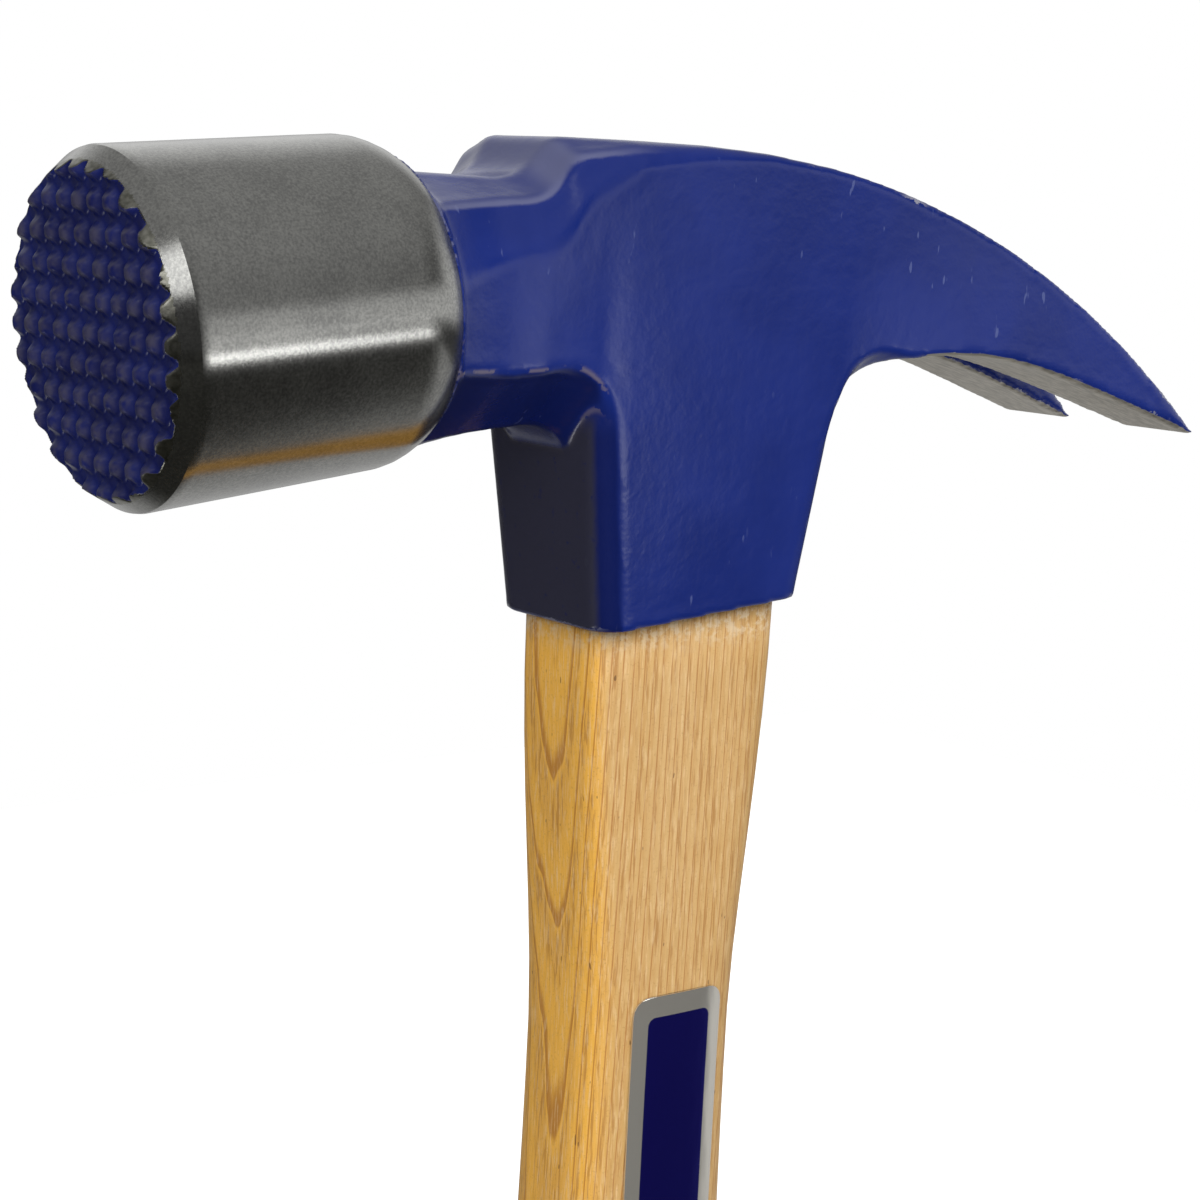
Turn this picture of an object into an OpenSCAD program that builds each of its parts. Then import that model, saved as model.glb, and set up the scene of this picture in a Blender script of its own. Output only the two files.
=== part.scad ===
// Framing hammer: forged head with a milled face and straight rip claws, on a hickory handle.
// Z runs up the handle from the middle of the butt end, and X points towards the claws.
// The head is drawn round its own point, where the axis of the poll crosses the axis of the handle.

/* [Overall] */
// Length from the butt end to the top of the head
overall_length = 406; // [340:1:460]
// Angle that the poll hangs down from square to the handle
poll_droop = 6.5; // [2:0.5:9]

/* [Poll] */
// Diameter of the poll just behind the edge of the face
poll_d = 34.4; // [31:0.5:38]
// Diameter of the poll at its back edge
poll_back_d = 33.2; // [29:0.5:36]
// Distance of the striking face from the axis of the handle
poll_reach = 70.2; // [66:0.2:78]
// Length of the ground part of the poll
poll_len = 33; // [26:0.2:34]
// How far the ground bevel reaches in from the side of the poll
bevel_in = 2; // [1:0.1:3.5]
// How far the ground bevel reaches back from the face
bevel_back = 2.8; // [1:0.1:4]
// Distance between the rows of teeth of the milled face
tooth_pitch = 3.05; // [2.6:0.05:4]
// Width of each groove between the teeth at the face
groove_w = 2; // [1.5:0.1:2.5]
// Depth of the grooves between the teeth
groove_depth = 1; // [0.5:0.05:1.4]
// Length of the rounded shoulder at the back of the poll
shoulder_r = 4.5; // [3:0.5:8]

/* [Neck] */
// Width of the neck from side to side
neck_w = 23.2; // [20:0.2:26]
// Width of the neck where it meets the back of the poll
neck_root_w = 28.4; // [26:0.2:29]
// Height of the saddle on top of the neck over the axis of the poll
neck_top = 11.7; // [9:0.5:13]
// Depth of the neck below the axis of the poll
neck_bottom = 14; // [13:0.2:17]
// Size of the slanted flats along the underside of the neck
neck_flat = 6.4; // [3:0.2:8]
// Radius of the round corners along the top of the neck and the front of the block
neck_top_r = 7.4; // [4:0.2:8]
// Length over which the neck swells into the block and the socket
neck_blend = 8; // [5:0.5:10]

/* [Eye block] */
// Width over the cheeks
cheek_w = 24.8; // [22:0.2:28]
// Height of the top of the head over the axis of the poll
head_top = 12.8; // [11:0.1:16]
// Distance of the top front edge of the block from the axis of the handle
block_front = 21.8; // [18:0.2:25]
// Length of the socket at its mouth
socket_len = 28.2; // [25:0.2:30]
// Width of the socket at its mouth
socket_w = 19.6; // [18.6:0.2:24]
// Length of the socket where it meets the neck
socket_root_len = 34; // [30:0.2:36]
// Depth of the mouth of the socket below the axis of the poll
socket_depth = 37.2; // [34:0.2:44]
// Slant of the mouth of the socket from square to the handle
mouth_slant = 5.3; // [0:0.1:8]
// Radius of the upright edges of the socket
socket_edge_r = 3.1; // [2:0.1:4.5]
// Length of the eye at the mouth of the socket
eye_len = 22.4; // [20:0.2:23]
// Width of the eye at the mouth of the socket
eye_w = 13.6; // [11:0.2:14]
// Length of the eye at the top of the head
eye_top_len = 25.6; // [24:0.2:26]
// Width of the eye at the top of the head
eye_top_w = 15.4; // [14:0.2:16]

/* [Claws] */
// Distance of the claw tips from the axis of the handle
claw_reach = 73.4; // [66:0.2:84]
// Drop of the claw tips below the axis of the poll
claw_drop = 18.4; // [14:0.2:24]
// Width over the claws at their tips
claw_w = 31; // [28:0.2:36]
// Thickness of the claws at their tips
tip_t = 1; // [0.6:0.1:2]
// Width of the nail slot at the tips
slot_w = 9.2; // [7:0.2:12]
// Width of the nail slot at its closed end
slot_end_w = 1.6; // [1:0.1:3]
// Length of the nail slot
slot_len = 39; // [30:1:44]
// Radius of the curve from the socket to the underside of the claws
claw_root_r = 7.4; // [5:0.5:10]

/* [Handle] */
// Width of the handle at its shoulder, just under the head
shoulder_w = 26; // [23.4:0.2:28]
// Thickness of the handle at its shoulder
shoulder_t = 15.8; // [14.8:0.2:20]
// Width of the handle at its throat
throat_w = 21.4; // [16:0.2:24]
// Thickness of the handle at its throat
throat_t = 17.4; // [14:0.2:20]
// Distance of the throat below the shoulder
throat_drop = 49; // [40:1:60]
// Width of the grip
grip_w = 30.5; // [26:0.5:36]
// Thickness of the grip
grip_t = 22.5; // [18:0.5:28]
// Height of the top of the grip over the butt end
grip_top = 150; // [110:1:180]
// Width of the handle at its flared end
butt_w = 34.5; // [30:0.5:40]
// Thickness of the handle at its flared end
butt_t = 25.5; // [22:0.5:30]
// Length of the flare at the end of the handle
flare_len = 34; // [24:1:50]
// Radius of the rounded edge round the butt end
butt_r = 3.5; // [2:0.1:5]

/* [Wedges] */
// Thickness of the wooden wedge at the top
wood_wedge_t = 3.4; // [2.4:0.1:4.4]
// Length of the wooden wedge down the eye
wood_wedge_len = 30; // [20:1:36]
// Thickness of each steel wedge at the top
steel_wedge_t = 2.4; // [1.6:0.1:3.2]
// Width of each steel wedge
steel_wedge_w = 10.6; // [8:0.2:12]
// Length of each steel wedge down the eye
steel_wedge_len = 16; // [10:0.5:20]
// Distance between the steel wedges
steel_wedge_spacing = 11; // [8:0.2:14]
// Thickness of a wedge at its lower edge
wedge_edge_t = 0.6; // [0.4:0.1:1]
// Depth of the top of the wood below the highest point of the head
wood_sink = 2; // [1.6:0.1:3]
// Height of the tops of the wedges over the top of the wood
wedge_stand = 0.1; // [0:0.05:0.3]

/* [Label] */
// Width of the foil label on the side of the handle
label_w = 12.6; // [9:0.5:16]
// Length of the foil label
label_len = 58; // [30:1:90]
// Distance of the top of the label below the shoulder
label_drop = 42.6; // [30:1:80]
// Radius of the corners of the label
label_r = 2; // [1:0.1:4]
// Thickness of the foil
label_t = 0.2; // [0.1:0.05:0.4]

/* [Fits] */
// Gap between the eye and the wood, and round each wedge
fit_gap = 0.1; // [0.05:0.01:0.2]

/* [Hidden] */
overrun = 5;
poll_r = poll_d / 2;
poll_back_r = poll_back_d / 2;
head_z = overall_length - head_top;
shoulder_z = head_z - socket_depth - fit_gap;
mouth_slope = tan(mouth_slant);
ring_points = 48;

// Smooth step from 0 to 1
function ease(u) = u * u * (3 - 2 * u);

// Value at z of a table of [z, value] rows, eased from each row to the next
function eased(table, z, i = 0) =
    i > len(table) - 3 || z < table[i + 1][0]
    ? table[i][1] + (table[i + 1][1] - table[i][1])
        * ease(min(max((z - table[i][0]) / (table[i + 1][0] - table[i][0]), 0), 1))
    : eased(table, z, i + 1);

// Point of a cubic curve through two end points and two handles
function curve_point(a, b, c, d, u) =
    pow(1 - u, 3) * a + 3 * pow(1 - u, 2) * u * b + 3 * (1 - u) * u * u * c + pow(u, 3) * d;

// Points of a cubic curve, without its first point
function curve(a, b, c, d, n) = [for (i = [1:n]) curve_point(a, b, c, d, i / n)];

// Outline of half sizes a and b that goes from an ellipse at 2 to a near rectangle at 8
function blunt_ring(a, b, square) = [
    for (i = [0:ring_points - 1])
        let (c = cos(i * 360 / ring_points), s = sin(i * 360 / ring_points))
        [a * sign(c) * pow(abs(c), 2 / square), b * sign(s) * pow(abs(s), 2 / square)]
];

// Rectangle with round corners, from x0 to x1 and from -b to b
function round_ring(x0, x1, b, r) = [
    for (k = [0:3])
        let (cx = k == 0 || k == 3 ? x1 - r : x0 + r, cy = k < 2 ? b - r : r - b)
        for (i = [0:ring_points / 4 - 1])
            let (t = 90 * k + 90 * i / (ring_points / 4 - 1))
            [cx + r * cos(t), cy + r * sin(t)]
];

// Solid through a list of rings that run anticlockwise seen from above, from the lowest up
module loft(rings) {
    n = len(rings[0]);
    last = len(rings) - 1;
    polyhedron(
        points = [for (ring = rings) for (p = ring) p],
        faces = concat(
            [[for (i = [0:n - 1]) i]],
            [for (k = [0:last - 1]) for (i = [0:n - 1]) [k * n + i, (k + 1) * n + i, (k + 1) * n + (i + 1) % n]],
            [for (k = [0:last - 1]) for (i = [0:n - 1]) [k * n + i, (k + 1) * n + (i + 1) % n, k * n + (i + 1) % n]],
            [[for (i = [n - 1:-1:0]) last * n + i]]
        )
    );
}

// The poll, drawn round Z with the face at the top and turned to the front

// Angle that turns an upright solid onto the axis of the poll
poll_turn = -90 - poll_droop;
poll_back = poll_reach - poll_len;
shoulder_back = poll_back - shoulder_r * 0.2;

module poll() {
    side = [poll_r, poll_reach - bevel_back];
    back = [poll_back_r, poll_back + shoulder_r];
    rotate([0, poll_turn, 0])
        difference() {
            rotate_extrude($fn = 96)
                polygon(concat(
                    [[0, shoulder_back]],
                    [for (i = [6:-1:0]) curve_point(
                        back,
                        back - [shoulder_r * 0.06, shoulder_r * 0.5],
                        [poll_back_r - shoulder_r * 0.15, poll_back],
                        [neck_root_w * 0.4, shoulder_back],
                        i / 6
                    )],
                    [side],
                    [[poll_r - bevel_in, poll_reach]],
                    [[0, poll_reach]]
                ));
            for (turn = [0, 90])
                rotate([0, 0, turn])
                    milled_grooves();
        }
}

// One direction of the grooves of the milled face, symmetrical about the middle row of teeth
module milled_grooves() {
    rows = floor(poll_r / tooth_pitch);
    for (i = [-rows:rows - 1])
        translate([(i + 0.5) * tooth_pitch, 0, poll_reach])
            rotate([90, 0, 0])
                linear_extrude(height = poll_d + overrun, center = true)
                    polygon([
                        [-groove_w / 2, 0],
                        [-groove_w / 2, overrun],
                        [groove_w / 2, overrun],
                        [groove_w / 2, 0],
                        [0, -groove_depth]
                    ]);
}

// The neck, cheeks and claws, as upright sections along X that lookup() takes from five lines

// Height of the axis of the poll at a place dx from the axis of the handle
function poll_line(dx) = dx * tan(poll_droop);

root = socket_root_len / 2;
neck_x = -poll_back - shoulder_r * 0.3;
saddle_x = neck_x + neck_blend * 1.25;
slot_start = claw_reach - slot_len;
// Share of the height of the top of the head at which the underside of the claws starts
claw_root_share = 0.72;
claw_root = [root + claw_root_r * 1.3, -head_top * claw_root_share];
tip_top = [claw_reach - tip_t, tip_t - claw_drop];
tip_low = [claw_reach, -claw_drop];

// Top line, from the saddle of the neck over the flat of the eye block to the tips
top_line = concat(
    [[neck_x, poll_line(neck_x) + poll_back_r * 0.78]],
    curve(
        [neck_x, poll_line(neck_x) + poll_back_r * 0.78],
        [neck_x + neck_blend * 0.4, poll_line(neck_x) + neck_top * 1.1],
        [saddle_x - neck_blend * 0.5, poll_line(saddle_x) + neck_top],
        [saddle_x, poll_line(saddle_x) + neck_top], 8
    ),
    curve(
        [saddle_x, poll_line(saddle_x) + neck_top],
        [(saddle_x - block_front) / 2, poll_line(saddle_x) + neck_top],
        [-block_front - neck_blend * 0.2, head_top - neck_blend * 0.5],
        [-block_front, head_top - tip_t], 12
    ),
    [[tip_t - block_front, head_top]],
    [[-root / 2, head_top]],
    curve(
        [-root / 2, head_top],
        [claw_reach * 0.26, head_top],
        [claw_reach * 0.62, claw_drop * 0.31],
        tip_top, 26
    ),
    [tip_low + [0, tip_t / 2]]
);

// Bottom line, from the neck down into the socket, and up again under the claws
neck_low_x = -root - neck_blend;
bottom_line = concat(
    [[neck_x, poll_line(neck_x) - poll_back_r * 0.88]],
    curve(
        [neck_x, poll_line(neck_x) - poll_back_r * 0.88],
        [neck_x + neck_blend * 0.4, poll_line(neck_x) - neck_bottom * 1.02],
        [neck_low_x - neck_blend * 0.5, poll_line(neck_low_x) - neck_bottom],
        [neck_low_x, poll_line(neck_low_x) - neck_bottom], 8
    ),
    curve(
        [neck_low_x, poll_line(neck_low_x) - neck_bottom],
        [-root - neck_blend * 0.4, poll_line(-root) - neck_bottom],
        [-root, -neck_bottom - neck_blend * 0.4],
        [-root + neck_blend * 0.25, -neck_bottom - neck_blend], 10
    ),
    [[root - claw_root_r * 0.3, -neck_bottom - neck_blend]],
    curve(
        [root - claw_root_r * 0.3, -neck_bottom - neck_blend],
        [root + claw_root_r * 0.05, claw_root[1] - claw_root_r * 0.5],
        [root + claw_root_r * 0.25, claw_root[1] - claw_root_r * 0.05],
        claw_root, 12
    ),
    curve(
        claw_root,
        claw_root + [claw_reach * 0.2, claw_drop * 0.1],
        tip_low + [-claw_reach * 0.3, claw_drop * 0.36],
        tip_low, 20
    )
);

// Half width, from the neck out to the cheeks and on to the tips
half_line = concat(
    [[neck_x, neck_root_w / 2]],
    curve(
        [neck_x, neck_root_w / 2],
        [neck_x + neck_blend * 0.5, neck_w * 0.53],
        [saddle_x - neck_blend * 0.4, neck_w / 2],
        [saddle_x, neck_w / 2], 8
    ),
    curve(
        [saddle_x, neck_w / 2],
        [-root * 1.3, neck_w / 2],
        [-root * 1.2, cheek_w / 2],
        [-root * 0.6, cheek_w / 2], 12
    ),
    [[root, cheek_w / 2]],
    curve(
        [root, cheek_w / 2],
        [claw_reach * 0.4, cheek_w / 2],
        [claw_reach * 0.7, claw_w / 2 - (claw_w - cheek_w) * 0.2],
        [claw_reach, claw_w / 2], 20
    )
);

// Radii of the round top corners, and sizes of the slanted flats on the bottom corners
top_round_line = [
    [neck_x, poll_back_r * 0.66],
    [saddle_x, neck_top_r],
    [-block_front, neck_top_r * 0.9],
    [-root * 0.85, neck_top_r * 0.35],
    [0, tip_t * 0.8],
    [root, tip_t * 0.4],
    [claw_reach - tip_t, tip_t * 0.4],
    [claw_reach, tip_t * 0.2]
];
low_flat_line = [
    [neck_x, poll_back_r * 0.52],
    [saddle_x, neck_flat],
    [-root, neck_flat],
    [-root * 0.7, socket_edge_r],
    [root, socket_edge_r],
    [claw_root[0], tip_t * 0.4],
    [claw_reach - tip_t, tip_t * 0.4],
    [claw_reach, tip_t * 0.2]
];

// Half width of the cheeks at height z, which lean out from the mouth of the socket to the top
function cheek_half(z) =
    (socket_w + (cheek_w - socket_w) * (z + socket_depth) / (socket_depth + head_top)) / 2;

// Share of the lean of the cheeks that the sides have at x
lean_shares = [[neck_low_x, 0], [-root, 1], [root, 1], [claw_root[0] + claw_root_r, 0]];

function head_section(x) =
    let (
        top = lookup(x, top_line),
        low = lookup(x, bottom_line),
        half = lookup(x, half_line),
        tr = lookup(x, top_round_line),
        mid = tr * (1 - sqrt(0.5)),
        lf = lookup(x, low_flat_line),
        low_half = half - (cheek_w / 2 - cheek_half(low + lf)) * lookup(x, lean_shares)
    )
    [
        [x, low_half, low + lf],
        [x, half, top - tr],
        [x, half - mid, top - mid],
        [x, half - tr, top],
        [x, tr - half, top],
        [x, mid - half, top - mid],
        [x, -half, top - tr],
        [x, -low_half, low + lf],
        [x, lf - low_half, low],
        [x, low_half - lf, low]
    ];

module body() {
    steps = 26;
    places = concat(
        [for (i = [0:steps - 1]) neck_x + (-root * 0.8 - neck_x) * i / steps],
        [for (i = [0:3]) root * (0.5 * i - 0.8)],
        [for (i = [0:steps]) root * 0.86 + (claw_root[0] - root * 0.86) * i / steps],
        [for (i = [1:steps - 1]) claw_root[0] + (claw_reach - tip_t - claw_root[0]) * i / steps],
        [claw_reach - tip_t, claw_reach]
    );
    loft([for (x = places) head_section(x)]);
}

// The socket, which widens upward into the cheeks

module socket() {
    top_z = -head_top / 2;
    root_z = -neck_bottom - neck_blend * 0.3;
    loft([
        mouth_ring(socket_len / 2, socket_w / 2, socket_edge_r),
        [for (p = round_ring(-root, root, cheek_half(root_z), socket_edge_r)) [p[0], p[1], root_z]],
        [for (p = round_ring(-root, root, cheek_half(top_z), socket_edge_r)) [p[0], p[1], top_z]]
    ]);
}

// A ring on the slanted plane of the socket's mouth
function mouth_ring(a, b, r) = [
    for (p = round_ring(-a, a, b, r)) [p[0], p[1], -socket_depth + p[0] * mouth_slope]
];

// Half size of the eye at height z between its sizes at the mouth and at the top
function eye_half(z, low, high) = (low + (high - low) * (z + socket_depth) / (socket_depth + head_top)) / 2;

// Ring of the tapered eye, or of the wood that fills it when gap is over zero
function eye_ring(z, gap) = [
    for (p = blunt_ring(eye_half(z, eye_len, eye_top_len) - gap, eye_half(z, eye_w, eye_top_w) - gap, 5)) [
        p[0], p[1], z
    ]
];

module nail_slot() {
    translate([0, 0, -claw_drop - overrun])
        linear_extrude(height = claw_drop + head_top + overrun * 2)
            union() {
                polygon([
                    [slot_start, -slot_end_w / 2],
                    [claw_reach, -slot_w / 2],
                    [claw_reach + overrun, -slot_w / 2],
                    [claw_reach + overrun, slot_w / 2],
                    [claw_reach, slot_w / 2],
                    [slot_start, slot_end_w / 2]
                ]);
                translate([slot_start, 0])
                    circle(d = slot_end_w, $fn = 24);
            }
}

module head() {
    color("#27357a")
        translate([0, 0, head_z])
            difference() {
                union() {
                    poll();
                    body();
                    socket();
                }
                loft([eye_ring(-socket_depth - overrun, 0), eye_ring(head_top + overrun, 0)]);
                nail_slot();
            }
}

// Heights of the top of the wood in the eye and of the wedges driven into it
tenon_top = head_top - wood_sink;
wedge_top = tenon_top + wedge_stand;

// The handle, in rings of [height, half width, half thickness, squareness]

throat_z = shoulder_z - throat_drop;
width_rows = [
    [0, butt_w / 2],
    [butt_r * 2, butt_w / 2],
    [flare_len, grip_w / 2],
    [grip_top, grip_w / 2],
    [throat_z, throat_w / 2],
    [shoulder_z, shoulder_w / 2]
];
thickness_rows = [
    [0, butt_t / 2],
    [butt_r * 2, butt_t / 2],
    [flare_len, grip_t / 2],
    [grip_top, grip_t / 2],
    [throat_z, throat_t / 2],
    [shoulder_z, shoulder_t / 2]
];
// From an oval grip to a near rectangle under the head
squareness_shares = [2.5, 2.6, 3.4, 6.5];
squareness_rows = [
    [0, squareness_shares[0]],
    [grip_top, squareness_shares[1]],
    [throat_z, squareness_shares[2]],
    [shoulder_z, squareness_shares[3]]
];

function handle_ring(z, inset = 0) = blunt_ring(
    eased(width_rows, z) - inset, eased(thickness_rows, z) - inset, eased(squareness_rows, z)
);

module handle() {
    grip_rings = 52;
    round_steps = 5;
    color("#d8b078")
        difference() {
            loft(concat(
                [
                    for (i = [0:round_steps - 1])
                        let (t = 90 * i / round_steps)
                        [for (p = handle_ring(0, butt_r * (1 - sin(t)))) [p[0], p[1], butt_r * (1 - cos(t))]]
                ],
                [
                    for (i = [0:grip_rings])
                        let (z = butt_r + (shoulder_z - butt_r) * i / grip_rings, tilt = ease(i / grip_rings))
                        [for (p = handle_ring(z)) [p[0], p[1], z + p[0] * mouth_slope * tilt]]
                ],
                [[
                    for (p = eye_ring(-socket_depth - fit_gap, fit_gap))
                        [p[0], p[1], p[2] + head_z + p[0] * mouth_slope]
                ]],
                [[for (p = eye_ring(tenon_top, fit_gap)) [p[0], p[1], p[2] + head_z]]]
            ));
            translate([0, 0, head_z]) {
                wood_wedge_blank(head_top + overrun, fit_gap);
                for (side = [-1, 1])
                    steel_wedge_blank(side, head_top + overrun, fit_gap);
            }
        }
}

// The wooden wedge lies along the eye, and the steel wedges stand across it

// Side outline of a wedge, from its lower edge up to top, made wider by gap all round
module wedge_outline(thick, length, top, gap) {
    low = head_top - length;
    half_low = wedge_edge_t / 2 + gap;
    half_top = wedge_edge_t / 2 + (thick - wedge_edge_t) / 2 * (top - low) / length + gap;
    polygon([[-half_low, low - gap], [half_low, low - gap], [half_top, top], [-half_top, top]]);
}

module wood_wedge_blank(top, gap) {
    rotate([90, 0, 90])
        linear_extrude(height = eye_top_len + overrun, center = true)
            wedge_outline(wood_wedge_t, wood_wedge_len, top, gap);
}

module steel_wedge_blank(side, top, gap) {
    translate([side * steel_wedge_spacing / 2, 0, 0])
        rotate([90, 0, 0])
            linear_extrude(height = steel_wedge_w + gap * 2, center = true)
                wedge_outline(steel_wedge_t, steel_wedge_len, top, gap);
}

module wood_wedge() {
    color("#c99c62")
        translate([0, 0, head_z])
            difference() {
                intersection() {
                    wood_wedge_blank(wedge_top, 0);
                    loft([eye_ring(-socket_depth, fit_gap), eye_ring(head_top + overrun, fit_gap)]);
                }
                for (side = [-1, 1])
                    steel_wedge_blank(side, head_top + overrun, fit_gap);
            }
}

module steel_wedge_front() {
    color("#8d8f90")
        translate([0, 0, head_z])
            steel_wedge_blank(-1, wedge_top, 0);
}

module steel_wedge_rear() {
    color("#8d8f90")
        translate([0, 0, head_z])
            steel_wedge_blank(1, wedge_top, 0);
}

// The foil label, bent round the side of the handle

// Half thickness of the handle at height z and distance x from its axis
function side_y(x, z) =
    let (a = eased(width_rows, z), b = eased(thickness_rows, z), e = eased(squareness_rows, z))
    b * pow(1 - pow(min(abs(x) / a, 1), e), 1 / e);

// Half width of the label at distance v below its top, with round corners
function label_half(v) =
    let (edge = min(v, label_len - v))
    label_w / 2 - (edge < label_r ? label_r - sqrt(max(label_r * label_r - pow(label_r - edge, 2), 0)) : 0);

module handle_label() {
    columns = 14;
    corner_rows = 5;
    long_rows = 14;
    drops = concat(
        [for (i = [0:corner_rows - 1]) label_r * (1 - cos(90 * i / corner_rows))],
        [for (i = [0:long_rows]) label_r + (label_len - 2 * label_r) * i / long_rows],
        [for (i = [1:corner_rows]) label_len - label_r * (1 - sin(90 * i / corner_rows))]
    );
    color("#c9cbce")
        loft([
            for (k = [len(drops) - 1:-1:0])
                let (v = drops[k], z = shoulder_z - label_drop - v, w = label_half(v))
                concat(
                    [for (i = [0:columns]) let (x = w * (2 * i / columns - 1))
                        [x, -side_y(x, z) - fit_gap - label_t, z]],
                    [for (i = [columns:-1:0]) let (x = w * (2 * i / columns - 1))
                        [x, -side_y(x, z) - fit_gap, z]]
                )
        ]);
}

head();
handle();
wood_wedge();
steel_wedge_front();
steel_wedge_rear();
handle_label();
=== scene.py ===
import math

import bpy
import numpy as np
from mathutils import Matrix, Vector


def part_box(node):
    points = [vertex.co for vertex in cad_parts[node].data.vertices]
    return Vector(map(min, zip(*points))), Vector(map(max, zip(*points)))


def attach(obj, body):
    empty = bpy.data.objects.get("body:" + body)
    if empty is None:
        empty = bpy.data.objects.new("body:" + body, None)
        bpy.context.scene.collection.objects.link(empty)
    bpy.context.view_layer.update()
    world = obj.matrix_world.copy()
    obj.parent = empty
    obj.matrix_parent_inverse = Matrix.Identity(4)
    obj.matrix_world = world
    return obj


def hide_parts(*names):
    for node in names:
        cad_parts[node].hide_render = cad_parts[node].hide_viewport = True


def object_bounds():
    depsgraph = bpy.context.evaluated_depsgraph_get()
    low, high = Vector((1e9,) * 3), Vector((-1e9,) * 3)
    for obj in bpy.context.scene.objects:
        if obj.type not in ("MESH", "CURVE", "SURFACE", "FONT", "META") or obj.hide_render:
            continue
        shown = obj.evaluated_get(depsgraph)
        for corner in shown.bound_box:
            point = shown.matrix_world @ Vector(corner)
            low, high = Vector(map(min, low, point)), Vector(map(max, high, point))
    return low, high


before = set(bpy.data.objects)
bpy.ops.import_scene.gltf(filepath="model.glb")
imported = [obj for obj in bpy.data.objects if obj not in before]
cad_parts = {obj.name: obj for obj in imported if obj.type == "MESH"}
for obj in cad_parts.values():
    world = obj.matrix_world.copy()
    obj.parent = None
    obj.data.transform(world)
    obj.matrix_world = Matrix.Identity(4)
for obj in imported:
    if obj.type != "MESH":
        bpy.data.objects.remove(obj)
cad_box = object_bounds()
mm = 0.001

# The forged head: one drop forging in tool steel, with the neck, the block round the eye, the socket and
# the two claws. It is dipped in dark blue enamel, and the underside of the claws is ground bare after
# painting. The poll that it carries is a section of its own.
poll_droop = math.radians(6.5)
poll_axis = Vector((-math.cos(poll_droop), 0, -math.sin(poll_droop)))
head_centre = Vector((0, 0, 393.2 * mm))
neck_cut = 38.2 * mm
neck_stub = 2.5 * mm
on_cut = 0.02 * mm


def deselect_all():
    if bpy.context.object and bpy.context.object.mode != "OBJECT":
        bpy.ops.object.mode_set(mode="OBJECT")
    bpy.ops.object.select_all(action="DESELECT")


def take_up(piece):
    deselect_all()
    piece.select_set(True)
    bpy.context.view_layer.objects.active = piece


def start_from_solid(name, node):
    piece = bpy.data.objects.new(name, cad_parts[node].data.copy())
    bpy.context.scene.collection.objects.link(piece)
    piece.data.materials.clear()
    take_up(piece)
    bpy.ops.object.mode_set(mode="EDIT")
    bpy.ops.mesh.select_all(action="SELECT")
    bpy.ops.mesh.remove_doubles(threshold=0.004 * mm)
    bpy.ops.mesh.select_all(action="DESELECT")
    bpy.ops.object.mode_set(mode="OBJECT")
    return piece


def apply_modifier(piece, kind, **settings):
    take_up(piece)
    modifier = piece.modifiers.new(kind.title(), kind)
    for key, value in settings.items():
        setattr(modifier, key, value)
    bpy.ops.object.modifier_apply(modifier=modifier.name)


def points_of(piece):
    co = np.empty(len(piece.data.vertices) * 3)
    piece.data.vertices.foreach_get("co", co)
    return co.reshape(-1, 3)


def put_points(piece, co):
    piece.data.vertices.foreach_set("co", co.ravel())
    piece.data.update()


def edge_ends(piece):
    edges = np.empty(len(piece.data.edges) * 2, int)
    piece.data.edges.foreach_get("vertices", edges)
    return edges.reshape(-1, 2).T


def relax(piece, rounds, share=1):
    """Evens the surface out as a hand file would, with no loss of size, by a pass in and a pass out."""
    a, b = edge_ends(piece)
    co = points_of(piece)
    count = np.bincount(a, minlength=len(co)) + np.bincount(b, minlength=len(co))
    share = np.broadcast_to(share, len(co))
    pass_in, pass_out = 0.55, -0.57
    for step in range(rounds):
        for pull in (pass_in, pass_out):
            near = np.zeros_like(co)
            for axis in range(3):
                near[:, axis] += np.bincount(a, co[b, axis], len(co)) + np.bincount(b, co[a, axis], len(co))
            co += (near / count[:, None] - co) * pull * share[:, None]
    put_points(piece, co)


def mark_edges(piece, name, spread):
    """Keeps how sharply the surface turns outwards at each point, for wear along the edges."""
    a, b = edge_ends(piece)
    co = points_of(piece)
    normal = np.empty(len(co) * 3)
    piece.data.vertices.foreach_get("normal", normal)
    normal = normal.reshape(-1, 3)
    count = np.bincount(a, minlength=len(co)) + np.bincount(b, minlength=len(co))
    gap = co[b] - co[a]
    length = np.linalg.norm(gap, axis=1) + 1e-9
    turn = np.bincount(a, -(gap * normal[a]).sum(1) / length**2, len(co))
    turn += np.bincount(b, (gap * normal[b]).sum(1) / length**2, len(co))
    turn /= count
    for step in range(spread):
        around = np.bincount(a, turn[b], len(co)) + np.bincount(b, turn[a], len(co))
        turn = turn * 0.5 + around / count * 0.5
    full_wear_r = 2 * mm
    layer = piece.data.attributes.new(name, "FLOAT", "POINT")
    layer.data.foreach_set("value", np.clip(turn * full_wear_r, 0, 1).astype(np.float32))


# The solid is cut off where the poll is ground round, and the cut end of its neck is drawn out a little.
forged_head = start_from_solid("forged_head", "head")
take_up(forged_head)
bpy.ops.object.mode_set(mode="EDIT")
bpy.ops.mesh.select_all(action="SELECT")
bpy.ops.mesh.bisect(
    plane_co=head_centre + poll_axis * neck_cut, plane_no=poll_axis, use_fill=True, clear_outer=True
)
bpy.ops.mesh.select_all(action="DESELECT")
bpy.ops.object.mode_set(mode="OBJECT")
for face in forged_head.data.polygons:
    face.select = abs((face.center - head_centre).dot(poll_axis) - neck_cut) < on_cut
bpy.ops.object.mode_set(mode="EDIT")
bpy.ops.mesh.select_mode(type="FACE")
bpy.ops.mesh.extrude_region_move(TRANSFORM_OT_translate={"value": poll_axis * neck_stub})
bpy.ops.mesh.select_all(action="SELECT")
bpy.ops.mesh.quads_convert_to_tris()
bpy.ops.mesh.normals_make_consistent(inside=False)
bpy.ops.object.mode_set(mode="OBJECT")
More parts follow.
